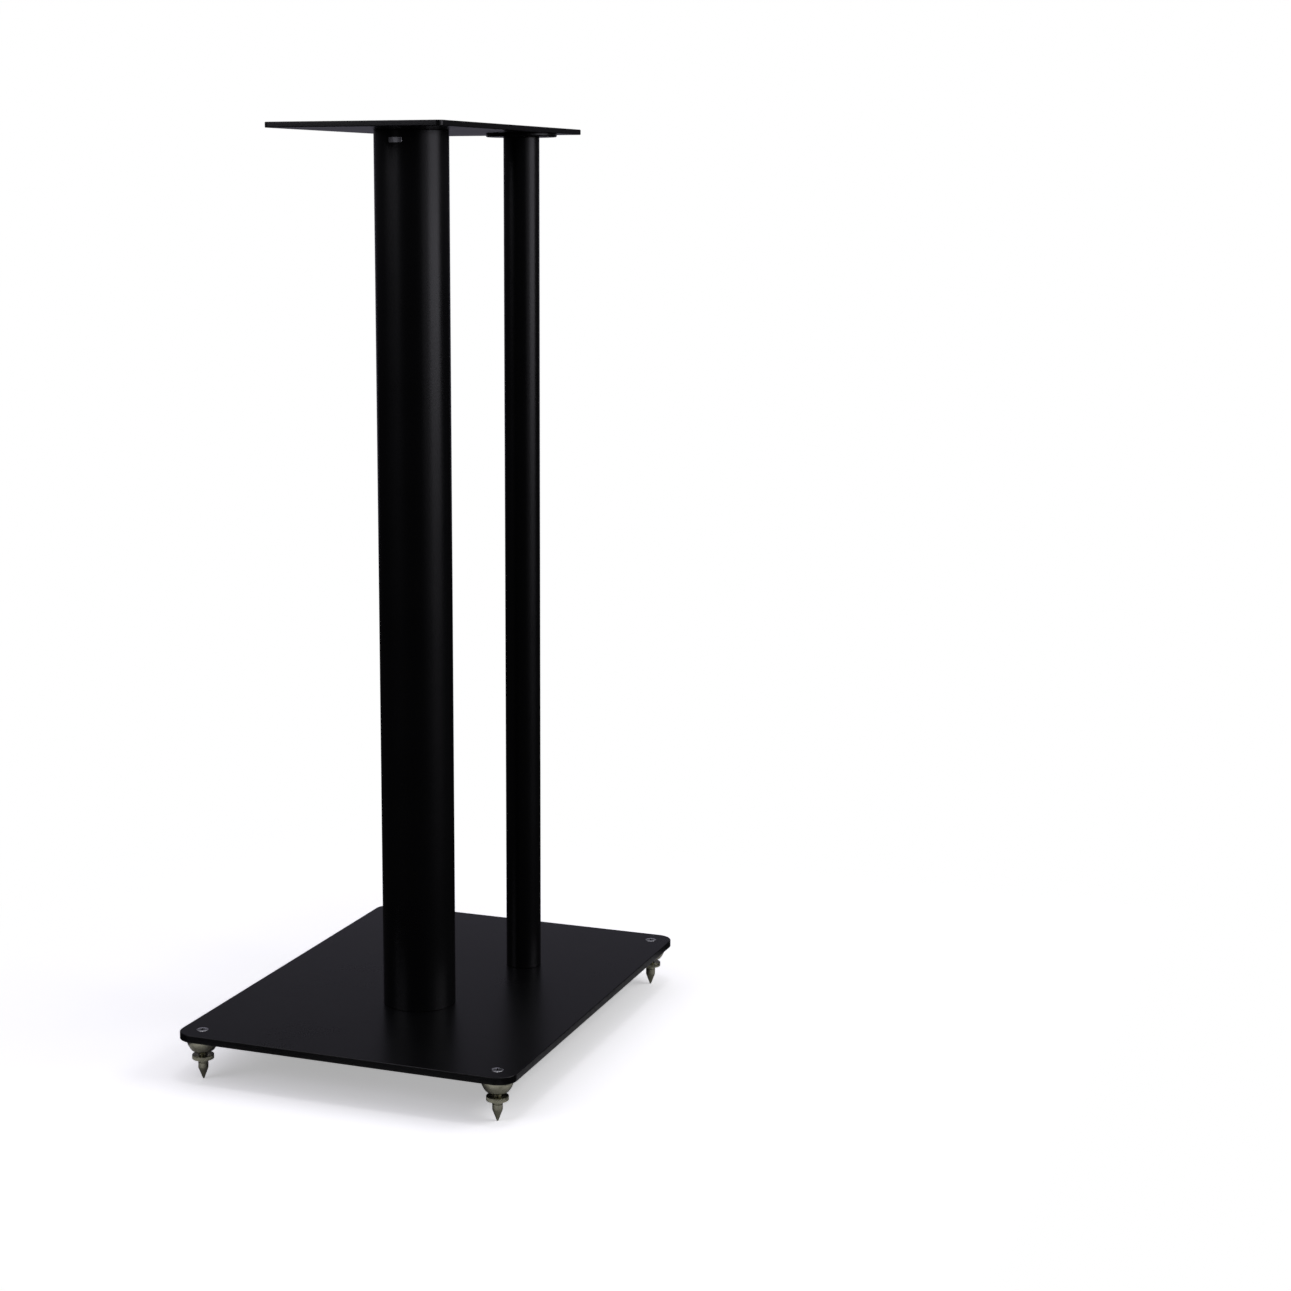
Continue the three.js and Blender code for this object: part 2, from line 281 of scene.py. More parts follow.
class Finish:
    """A node material with one Principled shader, built step by step."""

    def __init__(self, name):
        self.material = bpy.data.materials.new(name)
        self.material.use_nodes = True
        self.tree = self.material.node_tree
        self.shader = self.tree.nodes["Principled BSDF"]
        self.normal = None

    def node(self, kind, **inputs):
        made = self.tree.nodes.new(kind)
        for key, value in inputs.items():
            socket = made.inputs[key.replace("_", " ")]
            if isinstance(value, bpy.types.NodeSocket):
                self.tree.links.new(value, socket)
            else:
                socket.default_value = value
        return made

    def math(self, operation, *values):
        return math_node(self.tree, operation, *values)

    def place(self):
        """Where a point is, in the piece's own frame."""
        return self.tree.nodes.new("ShaderNodeTexCoord").outputs["Object"]

    def stretched(self, vector, x, y, z):
        mapping = self.node("ShaderNodeMapping", Vector=vector)
        mapping.inputs["Scale"].default_value = (x, y, z)
        return mapping.outputs["Vector"]

    def turning(self):
        """Coordinates that are the same all the way round the piece's axis."""
        axes = self.node("ShaderNodeSeparateXYZ", Vector=self.place())
        x, y = axes.outputs["X"], axes.outputs["Y"]
        squares = self.math("ADD", self.math("MULTIPLY", x, x), self.math("MULTIPLY", y, y))
        radius = self.math("SQRT", squares)
        return self.node("ShaderNodeCombineXYZ", X=radius, Y=axes.outputs["Z"]).outputs["Vector"]

    def noise(self, vector, scale, detail=2.0, roughness=0.5):
        made = self.node("ShaderNodeTexNoise", Vector=vector)
        made.inputs["Scale"].default_value = scale
        made.inputs["Detail"].default_value = detail
        made.inputs["Roughness"].default_value = roughness
        return made.outputs["Fac"]

    def spread(self, value, low, high):
        """A noise's values, spread out from low to high."""
        made = self.node("ShaderNodeMapRange", Value=value)
        made.inputs["From Min"].default_value = NOISE_LOW
        made.inputs["From Max"].default_value = NOISE_HIGH
        made.inputs["To Min"].default_value = low
        made.inputs["To Max"].default_value = high
        return made.outputs["Result"]

    def colours(self, factor, low, high):
        made = self.tree.nodes.new("ShaderNodeMix")
        made.data_type = "RGBA"
        self.tree.links.new(factor, made.inputs[MIX_FACTOR])
        made.inputs[MIX_FIRST].default_value = (*low, 1)
        made.inputs[MIX_SECOND].default_value = (*high, 1)
        self.tree.links.new(made.outputs[MIX_RESULT], self.shader.inputs["Base Color"])

    def bump(self, height, depth):
        made = self.node("ShaderNodeBump", Height=height)
        made.inputs["Strength"].default_value = 1.0
        made.inputs["Distance"].default_value = depth
        if self.normal:
            self.tree.links.new(self.normal, made.inputs["Normal"])
        self.normal = made.outputs["Normal"]
        self.tree.links.new(self.normal, self.shader.inputs["Normal"])

    def rough(self, value):
        self.tree.links.new(value, self.shader.inputs["Roughness"])

    def set(self, **values):
        for key, value in values.items():
            self.shader.inputs[key.replace("_", " ")].default_value = value


def powder_coat():
    """Satin black powder coat: orange peel, a finer grain, and faint clouds in gloss and tone."""
    coat = Finish("black_powder_coat")
    place = coat.place()
    clouds = coat.noise(place, scale=14, detail=4)
    peel = coat.noise(place, scale=520, detail=1)
    grain = coat.noise(place, scale=2600, detail=2)
    tone = coat.spread(grain, low=0, high=1)
    coat.colours(tone, low=(0.0007, 0.0007, 0.0009), high=(0.0019, 0.0019, 0.0024))
    cloud_gloss = coat.spread(clouds, low=0.27, high=0.32)
    grain_gloss = coat.spread(grain, low=-0.012, high=0.012)
    coat.rough(coat.math("ADD", cloud_gloss, grain_gloss))
    coat.bump(peel, depth=0.012 * MM)
    coat.bump(grain, depth=0.004 * MM)
    coat.set(IOR=1.5)
    return coat.material


def turned_metal(name, low, high, rough_low, rough_high, line_depth):
    """Plated metal that came off a lathe: fine rings, and clouds in tone and gloss."""
    metal = Finish(name)
    rings = metal.noise(metal.turning(), scale=5200, detail=3, roughness=0.6)
    clouds = metal.noise(metal.place(), scale=320, detail=3)
    metal.colours(metal.spread(clouds, low=0, high=1), low, high)
    cloud_gloss = metal.spread(clouds, rough_low, rough_high)
    ring_gloss = metal.spread(rings, low=-0.03, high=0.03)
    metal.rough(metal.math("ADD", cloud_gloss, ring_gloss))
    metal.bump(rings, line_depth)
    metal.set(Metallic=1.0)
    return metal.material


def brushed_aluminium():
    """Aluminium brushed along the plate's width."""
    metal = Finish("brushed_aluminium")
    strokes = metal.noise(metal.stretched(metal.place(), x=120, y=120, z=14000), scale=1, detail=3)
    clouds = metal.noise(metal.place(), scale=240, detail=2)
    tone = metal.spread(strokes, low=0, high=1)
    metal.colours(tone, low=(0.72, 0.73, 0.74), high=(0.86, 0.87, 0.88))
    stroke_gloss = metal.spread(strokes, low=0.22, high=0.32)
    cloud_gloss = metal.spread(clouds, low=-0.02, high=0.02)
    metal.rough(metal.math("ADD", stroke_gloss, cloud_gloss))
    metal.bump(strokes, depth=0.004 * MM)
    metal.set(Metallic=1.0)
    return metal.material


COAT = powder_coat()
NICKEL = turned_metal(
    "nickel_plated_steel",
    low=(0.39, 0.385, 0.28),
    high=(0.51, 0.5, 0.375),
    rough_low=0.2,
    rough_high=0.3,
    line_depth=0.003 * MM,
)
ZINC = turned_metal(
    "zinc_plated_steel",
    low=(0.84, 0.85, 0.86),
    high=(0.94, 0.95, 0.96),
    rough_low=0.18,
    rough_high=0.27,
    line_depth=0.003 * MM,
)
# painted shade: a near-black finish that stands in for the shade deep in a screw's recess
RECESS_SHADE = turned_metal(
    "recess_painted_shade",
    low=(0.006, 0.006, 0.006),
    high=(0.02, 0.019, 0.017),
    rough_low=0.5,
    rough_high=0.7,
    line_depth=0.01 * MM,
)
STEEL = turned_metal(
    "bare_steel",
    low=(0.16, 0.16, 0.165),
    high=(0.3, 0.29, 0.28),
    rough_low=0.38,
    rough_high=0.55,
    line_depth=0.006 * MM,
)
ALUMINIUM = brushed_aluminium()


# ---- plates -----------------------------------------------------------------------------------


def head_cutter(node):
    """The room that a countersunk screw needs in the plate that it holds."""
    place, head_radius, low_z, high_z = extent(node)
    shank_radius = SHANKS[node] + SCREW_GAP
    reach = head_radius + SCREW_GAP
    profile = [
        (0, low_z - CUT_REACH),
        (shank_radius, low_z - CUT_REACH),
        (shank_radius, high_z - (reach - shank_radius)),
        (reach, high_z),
        (reach, high_z + CUT_REACH),
        (0, high_z + CUT_REACH),
    ]
    return new_object("cutter", turned_mesh(profile), place)


def bolt_cutter(node):
    """The hole in the base plate that a bolt from below passes through."""
    place, _, low_z, high_z = extent(node)
    reach = SHANKS[node] + SCREW_GAP
    profile = [(0, low_z), (reach, low_z), (reach, high_z), (0, high_z)]
    return new_object("cutter", turned_mesh(profile), place)


TOP_SCREWS = ["front_top_screw", "rear_top_screw"]
FOOT_SCREWS = [f"foot_screw_{n}" for n in range(1, 5)]
FOOT_BOLTS = ["front_foot_bolt", "rear_foot_bolt"]
# the radius of each shank
SHANKS = {
    **{node: 3 * MM for node in TOP_SCREWS},
    **{node: 2 * MM for node in FOOT_SCREWS},
    "front_foot_bolt": 4 * MM,
    "rear_foot_bolt": 3 * MM,
}


def make_plate(node, corner_radius, cutters):
    low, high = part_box(node)
    plate = new_object(f"{node}_coated", plate_mesh(low, high, corner_radius, PLATE_EDGE_RADIUS))
    carve(plate, cutters)
    dress(plate, node, "stand", COAT)


base_cutters = [head_cutter(node) for node in FOOT_SCREWS]
base_cutters += [bolt_cutter(node) for node in FOOT_BOLTS]
make_plate("base_plate", BASE_CORNER_RADIUS, base_cutters)
make_plate("top_plate", TOP_CORNER_RADIUS, [head_cutter(node) for node in TOP_SCREWS])


# ---- columns ----------------------------------------------------------------------------------


def make_tube(node):
    place, radius, low_z, high_z = extent(node)
    inner = radius - TUBE_WALL
    profile = [
        (inner, low_z, COAT_EDGE),
        (radius, low_z, COAT_EDGE),
        (radius, high_z, COAT_EDGE),
        (inner, high_z, COAT_EDGE),
    ]
    bm = turned_mesh(softened(profile, closed=True), TUBE_SEGMENTS, closed=True)
    dress(new_object(f"{node}_coated", bm, place), node, "stand", COAT)


def make_flange(node, screw):
    place, radius, low_z, high_z = extent(node)
    profile = [
        (0, low_z),
        (radius, low_z, FLANGE_EDGE),
        (radius, high_z, COAT_EDGE),
        (0, high_z),
    ]
    flange = new_object(f"{node}_coated", turned_mesh(softened(profile), TUBE_SEGMENTS), place)
    carve(flange, [head_cutter(screw)])
    dress(flange, node, "stand", COAT)


make_tube("front_column")
make_tube("rear_column")
make_flange("rear_column_flange", "rear_top_screw")


# ---- name plate, left blank -------------------------------------------------------------------

NAME_PLATE_CORNER = 0.5 * MM
NAME_PLATE_THICKNESS = 0.6 * MM
NAME_PLATE_EDGE = 0.12 * MM
NAME_PLATE_STRIPS = 24  # flat strips that make up its curve


def make_name_plate(node):
    """A small flat blank with round corners, bent to the column's curve."""
    low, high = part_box(node)
    place, column_radius, _, _ = extent("front_column")
    width = high.x - low.x
    height = high.z - low.z
    inner = column_radius + SCREW_GAP
    outer = inner + NAME_PLATE_THICKNESS
    sheet_low = Vector((-width / 2, -height / 2, inner))
    sheet_high = Vector((width / 2, height / 2, outer))
    bm = plate_mesh(sheet_low, sheet_high, NAME_PLATE_CORNER, NAME_PLATE_EDGE)
    for step in range(1, NAME_PLATE_STRIPS):
        x = width * (step / NAME_PLATE_STRIPS - 0.5)
        geometry = bm.verts[:] + bm.edges[:] + bm.faces[:]
        bmesh.ops.bisect_plane(bm, geom=geometry, plane_co=(x, 0, 0), plane_no=(1, 0, 0))
    middle_z = (low.z + high.z) / 2
    for vertex in bm.verts:
        across, up, reach = vertex.co
        angle = across / outer
        vertex.co = (reach * math.sin(angle), -reach * math.cos(angle), middle_z + up)
    bmesh.ops.recalc_face_normals(bm, faces=bm.faces)
    blank = new_object(f"{node}_blank", bm, place)
    dress(blank, node, "stand", ALUMINIUM)


make_name_plate("name_plate")


# ---- screws, bolts and washers ----------------------------------------------------------------


def countersunk_profile(node, edge, dome=0.0):
    _, head_radius, low_z, high_z = extent(node)
    shank = SHANKS[node]
    profile = [
        (0, low_z),
        (shank, low_z, edge),
        (shank, high_z - (head_radius - shank)),
        (head_radius, high_z, edge),
    ]
    if dome:
        for step in range(DOME_START, DOME_STEPS):
            swell = math.pi / 2 * step / DOME_STEPS
            profile.append((head_radius * math.cos(swell), high_z + dome * math.sin(swell)))
    profile.append((0, high_z + dome))
    return softened(profile)


def hexagon_cutter(place, flats, low_z, high_z):
    radius = flats / math.sqrt(3)
    profile = [(0, low_z), (radius, low_z), (radius, high_z), (0, high_z)]
    return new_object("cutter", turned_mesh(profile, 6), place)


def make_top_screw(node):
    place, _, _, high_z = extent(node)
    profile = countersunk_profile(node, TOP_SCREW_EDGE)
    screw = new_object(f"{node}_head", turned_mesh(profile), place)
    socket_low = high_z - HEX_SOCKET_DEPTH
    carve(screw, [hexagon_cutter(place, HEX_SOCKET_FLATS, socket_low, high_z + CUT_REACH)])

    # faces deep in the hexagon socket get the painted shade
    def in_socket(r, z):
        inside = r < HEX_SOCKET_FLATS * SOCKET_SHADE
        return inside and socket_low - RECESS_SKIN < z < high_z - RECESS_SKIN

    dress(screw, node, "stand", ZINC, in_socket)


def cross_cutter(place, top_z, turn):
    """A cross recess: four wedge-shaped wings about a deep cone, with a sloping rim."""
    low_z = top_z - CROSS_DEPTH
    high_z = top_z + HEAD_DOME
    tip = CROSS_WIDTH * CROSS_TIP_SHARE
    cone = [(0, low_z), (tip, low_z), (CROSS_WIDTH, high_z), (0, high_z)]
    cutters = [new_object("cutter", turned_mesh(cone), place)]
    mouth_z = top_z - CROSS_MOUTH_DEPTH
    mouth_foot = CROSS_WIDTH * CROSS_MOUTH_SHARE
    mouth = [(0, mouth_z), (mouth_foot, mouth_z), (CROSS_MOUTH_RADIUS, high_z), (0, high_z)]
    cutters.append(new_object("cutter", turned_mesh(mouth), place))
    arm_low_z = low_z + CROSS_DEPTH * CROSS_WING_RISE
    for arm in range(2):
        bm = bmesh.new()
        angle = turn + math.pi / 2 * arm
        c, s = math.cos(angle), math.sin(angle)
        corners = []
        for z, long_share, wide_share in ((arm_low_z, *CROSS_WING_FOOT), (high_z, 1.0, 1.0)):
            length, width = CROSS_LENGTH / 2 * long_share, CROSS_WIDTH / 2 * wide_share
            for x, y in ((-length, -width), (length, -width), (length, width), (-length, width)):
                corners.append(bm.verts.new((x * c - y * s, x * s + y * c, z)))
        low, high = corners[:4], corners[4:]
        bm.faces.new(reversed(low))
        bm.faces.new(high)
        for i in range(4):
            j = (i + 1) % 4
            bm.faces.new((low[i], low[j], high[j], high[i]))
        bmesh.ops.recalc_face_normals(bm, faces=bm.faces)
        cutters.append(new_object("cutter", bm, place))
    return cutters


def make_foot_screw(node):
    place, _, _, high_z = extent(node)
    top_z = high_z + HEAD_DOME
    profile = countersunk_profile(node, FOOT_SCREW_EDGE, HEAD_DOME)
    screw = new_object(f"{node}_head", turned_mesh(profile), place)
    carve(screw, cross_cutter(place, top_z, math.radians(CROSS_TURNS[node])))

    # faces deep in the cross recess, below its sloping rim, get the painted shade
    def in_cross(r, z):
        in_mouth = z > top_z - CROSS_MOUTH_DEPTH - RECESS_SKIN
        return r < CROSS_LENGTH / 2 and z > top_z - CROSS_DEPTH - RECESS_SKIN and not in_mouth

    dress(screw, node, "stand", ZINC, in_cross)


def make_bolt(node, head_flats, head_height):
    """A hexagon bolt whose head's lower corners are turned off."""
    place, _, low_z, high_z = extent(node)
    radius = head_flats / math.sqrt(3)
    head_top = low_z + head_height
    profile = [(0, low_z), (radius, low_z), (radius, head_top), (0, head_top)]
    bolt = new_object(f"{node}_hexagon", turned_mesh(profile, 6), place)
    face = head_flats / 2 * BOLT_FACE_SHARE
    slope = math.tan(math.radians(BOLT_CHAMFER))
    outside = radius + BOLT_OVERLAP
    envelope = [
        (0, low_z),
        (face, low_z),
        (outside, low_z + (outside - face) * slope),
        (outside, head_top),
        (0, head_top),
    ]
    turning = new_object("cutter", turned_mesh(envelope), place)
    carve(bolt, [turning], "INTERSECT")
    shank = SHANKS[node]
    root_z = head_top - BOLT_OVERLAP
    body = [(0, root_z), (shank, root_z), (shank, high_z, BOLT_TIP_EDGE), (0, high_z)]
    carve(bolt, [new_object("cutter", turned_mesh(softened(body)), place)], "UNION")
    dress(bolt, node, "stand", ZINC)


def washer_profile(node, bolt, edge):
    bore = SHANKS[bolt] + SCREW_GAP
    _, radius, low_z, high_z = extent(node)
    corners = [(bore, low_z), (radius, low_z), (radius, high_z), (bore, high_z)]
    return softened([(*corner, edge) for corner in corners], closed=True)


def make_washer(node, bolt):
    place = extent(node)[0]
    profile = washer_profile(node, bolt, WASHER_EDGE)
    washer = new_object(f"{node}_ring", turned_mesh(profile, closed=True), place)
    dress(washer, node, "stand", ZINC)


def make_spring_washer(node, bolt):
    """A split ring with a slanting slit, as it lies when tightened."""
    _, radius, low_z, high_z = extent(node)
    place = extent(bolt)[0]  # the slit puts the ring's own middle off its axis
    profile = washer_profile(node, bolt, SPRING_WASHER_EDGE)
    ring = new_object(f"{node}_ring", turned_mesh(profile, closed=True), place)
    bm = bmesh.new()
    bmesh.ops.create_cube(bm, size=1)
    middle_z = (low_z + high_z) / 2
    for vertex in bm.verts:
        slant = vertex.co.z * SLIT_SLANT
        vertex.co = (
            radius + vertex.co.x * radius,
            vertex.co.y * SLIT_WIDTH + slant,
            middle_z + vertex.co.z * SLIT_CUTTER_HEIGHT * (high_z - low_z),
        )
    carve(ring, [new_object("cutter", bm, place)])
    dress(ring, node, "stand", ZINC)


for node in TOP_SCREWS:
    make_top_screw(node)
for node in FOOT_SCREWS:
    make_foot_screw(node)
make_bolt("front_foot_bolt", head_flats=13 * MM, head_height=5.3 * MM)
make_bolt("rear_foot_bolt", head_flats=10 * MM, head_height=4 * MM)
for label in ("front", "rear"):
    make_washer(f"{label}_foot_washer", f"{label}_foot_bolt")
    make_spring_washer(f"{label}_spring_washer", f"{label}_foot_bolt")


# ---- the plugs inside the tubes keep their CAD form --------------------------------------------

for node in ("front_foot_plug", "front_top_plug", "rear_foot_plug", "rear_top_plug"):
    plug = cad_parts[node]
    plug.data.materials.clear()
    plug.data.materials.append(STEEL)


# ---- feet -------------------------------------------------------------------------------------

TIP_RADIUS = 0.5 * MM
TIP_EDGE = 0.4 * MM
SPIKE_CONE_HEIGHT = 8 * MM
SPIKE_CONE_EDGE = 0.5 * MM
SPIKE_BODY_HEIGHT = 4 * MM
SPIKE_RADIUS = 3.5 * MM
SHOULDER_EDGE = 0.3 * MM
STUD_RADIUS = 3 * MM
STUD_CHAMFER = 0.5 * MM
HUB_HEIGHT = 2.2 * MM
HUB_RADIUS = 3.5 * MM
HUB_EDGE = 0.12 * MM
RING_EDGE = 0.35 * MM
RING_BORE_EDGES = (0.1 * MM, 0.3 * MM)  # below and above
CUP_BOTTOM_RADIUS = 6.9 * MM
CUP_BORE_EDGE = 0.3 * MM
CUP_LIP_EDGE = 1.3 * MM
CUP_LIP_STEPS = 3  # steps of the wall that the rounded lip takes up
CUP_STEPS = 28
CUP_BULGE = 0.8  # lower makes the cup fuller at its foot


def thread_relief(start_z, end_z):
    """How deep a helical thread cuts at a point, with a run-out at both ends."""

    def relief(r, z, angle):
        if z < start_z or z > end_z or r < STUD_RADIUS - 2 * THREAD_DEPTH:
            return 0.0
        phase = (z / THREAD_PITCH - angle / math.tau) % 1.0
        flank = min(1.0, max(0.0, abs(phase - 0.5) * FLANK_SLOPE - FLANK_CREST))
        fade = min(1.0, (z - start_z) / THREAD_PITCH, (end_z - z) / THREAD_PITCH)
        return -THREAD_DEPTH * flank * fade

    return relief


def make_spike(number):
    node = f"spike_{number}"
    place, _, low_z, high_z = extent(node)
    shoulder_z = SPIKE_CONE_HEIGHT + SPIKE_BODY_HEIGHT
    profile = softened([
        (0, low_z),
        (TIP_RADIUS, low_z, TIP_EDGE),
        (SPIKE_RADIUS, SPIKE_CONE_HEIGHT, SPIKE_CONE_EDGE),
        (SPIKE_RADIUS, shoulder_z, SHOULDER_EDGE),
        (STUD_RADIUS, shoulder_z),
    ])
    thread_end = high_z - STUD_CHAMFER
    rows = round((thread_end - shoulder_z) / THREAD_PITCH * THREAD_STEPS)
    for row in range(1, rows + 1):
        profile.append((STUD_RADIUS, shoulder_z + (thread_end - shoulder_z) * row / rows))
    profile += [(STUD_RADIUS - STUD_CHAMFER, high_z), (0, high_z)]
    relief = thread_relief(shoulder_z, thread_end)
    spike = new_object(f"{node}_turned", turned_mesh(profile, relief=relief), place)
    dress(spike, node, node, NICKEL)


def make_lock_ring(number):
    node = f"lock_ring_{number}"
    place, radius, low_z, high_z = extent(node)
    bore = STUD_RADIUS + SCREW_GAP
    disc_z = low_z + HUB_HEIGHT
    low_edge, high_edge = RING_BORE_EDGES
    profile = softened([
        (bore, low_z, low_edge),
        (HUB_RADIUS, low_z, HUB_EDGE),
        (HUB_RADIUS, disc_z),
        (radius, disc_z, RING_EDGE),
        (radius, high_z, RING_EDGE),
        (bore, high_z, high_edge),
    ], closed=True)
    rim = radius - RIM_SKIN

    def knurl(r, z, angle):
        if r < rim:
            return 0.0
        return KNURL_DEPTH * (abs(math.sin(angle * KNURL_COUNT / 2)) - 1)

    bm = turned_mesh(profile, KNURL_COUNT * KNURL_SEGMENTS, closed=True, relief=knurl)
    ring = new_object(f"{node}_turned", bm, place)
    dress(ring, node, node, NICKEL)


def make_cup(number):
    node = f"spike_cup_{number}"
    place, radius, low_z, high_z = extent(node)
    bore = STUD_RADIUS + SCREW_GAP
    screw_low = extent(f"foot_screw_{number}")[2]
    wall = []
    for step in range(CUP_STEPS + 1):
        t = step / CUP_STEPS
        spread = math.sin(math.pi / 2 * t) ** CUP_BULGE
        reach = CUP_BOTTOM_RADIUS + (radius - CUP_BOTTOM_RADIUS) * spread
        wall.append((reach, low_z + (high_z - low_z) * t))
    profile = [(0, screw_low), (bore, screw_low), (bore, low_z, CUP_BORE_EDGE)]
    profile += [(CUP_BOTTOM_RADIUS, low_z, CUP_LIP_EDGE)] + wall[CUP_LIP_STEPS:]
    profile += [(0, high_z)]
    cup = new_object(f"{node}_turned", turned_mesh(softened(profile)), place)
    dress(cup, node, "stand", NICKEL)


for number in range(1, 5):
    make_spike(number)
    make_lock_ring(number)
    make_cup(number)


# ---- studio -----------------------------------------------------------------------------------


def floor_distance(tree, side_share=1.0):
    """How far a point of the floor is outside the base plate. side_share stretches it along X."""
    place = tree.nodes.new("ShaderNodeTexCoord")
    axes = tree.nodes.new("ShaderNodeSeparateXYZ")
    tree.links.new(place.outputs["Object"], axes.inputs[0])
    _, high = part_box("base_plate")
    sides = []
    for axis, reach, share in (("X", high.x, side_share), ("Y", high.y, 1.0)):
        size = math_node(tree, "ABSOLUTE", axes.outputs[axis])
        outside = math_node(tree, "SUBTRACT", size, reach)
        sides.append(math_node(tree, "MULTIPLY", outside, share))
    return math_node(tree, "MAXIMUM", *sides)


def faded(tree, distance, start, end, near, far):
    """Mixes one shader into another between two distances."""
    fade = tree.nodes.new("ShaderNodeMapRange")
    fade.interpolation_type = "SMOOTHSTEP"
    fade.inputs["From Min"].default_value = start
    fade.inputs["From Max"].default_value = end
    tree.links.new(distance, fade.inputs["Value"])
    mix = tree.nodes.new("ShaderNodeMixShader")
    tree.links.new(fade.outputs["Result"], mix.inputs["Fac"])
    tree.links.new(near.outputs[0], mix.inputs[1])
    tree.links.new(far.outputs[0], mix.inputs[2])
    return mix


def plain_shader(tree, kind, level):
    """A grey shader. A level above 1 makes the floor brighter than the light that falls on it."""
    shader = tree.nodes.new(kind)
    shader.inputs["Color"].default_value = (level, level, level, 1)
    return shader


def make_floor():
    """A plain white floor that burns out to white. What the object mirrors of it is painted light:
    shadow under the base, a pool of light round it, dark beyond.
    """
    bm = bmesh.new()
    bmesh.ops.create_grid(bm, x_segments=1, y_segments=1, size=FLOOR_REACH)
    floor = new_object("floor", bm)
    material = bpy.data.materials.new("floor_white")
    material.use_nodes = True
    tree = material.node_tree
    tree.nodes.clear()
    distance = floor_distance(tree)
    lit = plain_shader(tree, "ShaderNodeBsdfDiffuse", FLOOR_EXPOSURE)
    # a painted glow added to the lit floor, which lightens its shadows
    glow = plain_shader(tree, "ShaderNodeEmission", FLOOR_GLOW)
    near = tree.nodes.new("ShaderNodeAddShader")
    tree.links.new(lit.outputs[0], near.inputs[0])
    tree.links.new(glow.outputs[0], near.inputs[1])
    white = plain_shader(tree, "ShaderNodeEmission", 1.0)
    seen = faded(tree, distance, *WHITE_REACH, near, white)
    # painted light for rays other than the camera's: shadow under the base, a pool of light round
    # it, dark beyond
    under = plain_shader(tree, "ShaderNodeBsdfDiffuse", UNDER_SHADOW_TONE)
    pool = plain_shader(tree, "ShaderNodeBsdfDiffuse", POOL_LIGHT_TONE)
    dim = plain_shader(tree, "ShaderNodeBsdfDiffuse", FAR_SHADE_TONE)
    lit_edge = faded(tree, distance, *UNDER_REACH, under, pool)
    mirrored = faded(tree, floor_distance(tree, POOL_SIDE_SHARE), *POOL_REACH, lit_edge, dim)
    path = tree.nodes.new("ShaderNodeLightPath")
    view = tree.nodes.new("ShaderNodeMixShader")
    tree.links.new(path.outputs["Is Camera Ray"], view.inputs["Fac"])
    tree.links.new(mirrored.outputs[0], view.inputs[1])
    tree.links.new(seen.outputs[0], view.inputs[2])
    output = tree.nodes.new("ShaderNodeOutputMaterial")
    tree.links.new(view.outputs[0], output.inputs["Surface"])
    floor.data.materials.append(material)


def make_world():
    """White to the eye. What lights and mirrors in the object is a dim room, brighter overhead."""
    world = bpy.data.worlds.new("studio")
    bpy.context.scene.world = world
    world.use_nodes = True
    tree = world.node_tree
    tree.nodes.clear()
    new, link = tree.nodes.new, tree.links.new
    direction = new("ShaderNodeTexCoord")
    axes = new("ShaderNodeSeparateXYZ")
    link(direction.outputs["Generated"], axes.inputs[0])
    rise = new("ShaderNodeValToRGB")
    ramp = rise.color_ramp
    ramp.interpolation = "EASE"
    for index, (height, level) in enumerate(ROOM_LEVELS):
        # a new ramp has two stops already
        stop = ramp.elements[index] if index < 2 else ramp.elements.new(height)
        stop.position = height
        stop.color = (*(level * share for share in ROOM_TINT), 1)
    half = new("ShaderNodeMapRange")
    half.inputs["From Min"].default_value = -1
    half.inputs["From Max"].default_value = 1
    link(axes.outputs["Z"], half.inputs["Value"])
    link(half.outputs["Result"], rise.inputs["Fac"])
    room = new("ShaderNodeBackground")
    link(rise.outputs["Color"], room.inputs["Color"])
    white = new("ShaderNodeBackground")
    white.inputs["Color"].default_value = (1, 1, 1, 1)
    path = new("ShaderNodeLightPath")
    mix = new("ShaderNodeMixShader")
    link(path.outputs["Is Camera Ray"], mix.inputs["Fac"])
    link(room.outputs[0], mix.inputs[1])
    link(white.outputs[0], mix.inputs[2])
    output = new("ShaderNodeOutputWorld")
    link(mix.outputs[0], output.inputs["Surface"])


def softbox(name, place, target, width, height, radiance, colour=(1, 1, 1)):
    """A rectangular soft light. Its power follows from the brightness of its face."""
    light = bpy.data.lights.new(name, "AREA")
    light.shape = "RECTANGLE"
    light.size = width
    light.size_y = height
    light.energy = radiance * width * height * math.pi
    light.color = colour
    lamp = bpy.data.objects.new(name, light)
    bpy.context.scene.collection.objects.link(lamp)
    lamp.location = place
    lamp.rotation_mode = "QUATERNION"
    lamp.rotation_quaternion = (Vector(target) - Vector(place)).to_track_quat("-Z", "Y")
    lamp.visible_camera = False


FLOOR_REACH = 30  # from the middle of the floor to each of its sides

# The floor that the camera sees. Every other reach is measured from the edge of the base plate.
FLOOR_EXPOSURE = 1.62
# an even painted glow on the near floor, which lightens its shadows
FLOOR_GLOW = 0.39
WHITE_REACH = (0.1, 0.35)  # from here to there the floor burns out

# The floor that the object mirrors, all painted light: painted shadow under the base, a painted
# pool of light round it, and painted dark beyond.
UNDER_SHADOW_TONE = 0.52
POOL_LIGHT_TONE = 1.25
FAR_SHADE_TONE = 0.03
UNDER_REACH = (0.0, 0.035)
POOL_REACH = (0.042, 0.062)
POOL_SIDE_SHARE = 1.7  # the painted pool of light is this much narrower along X

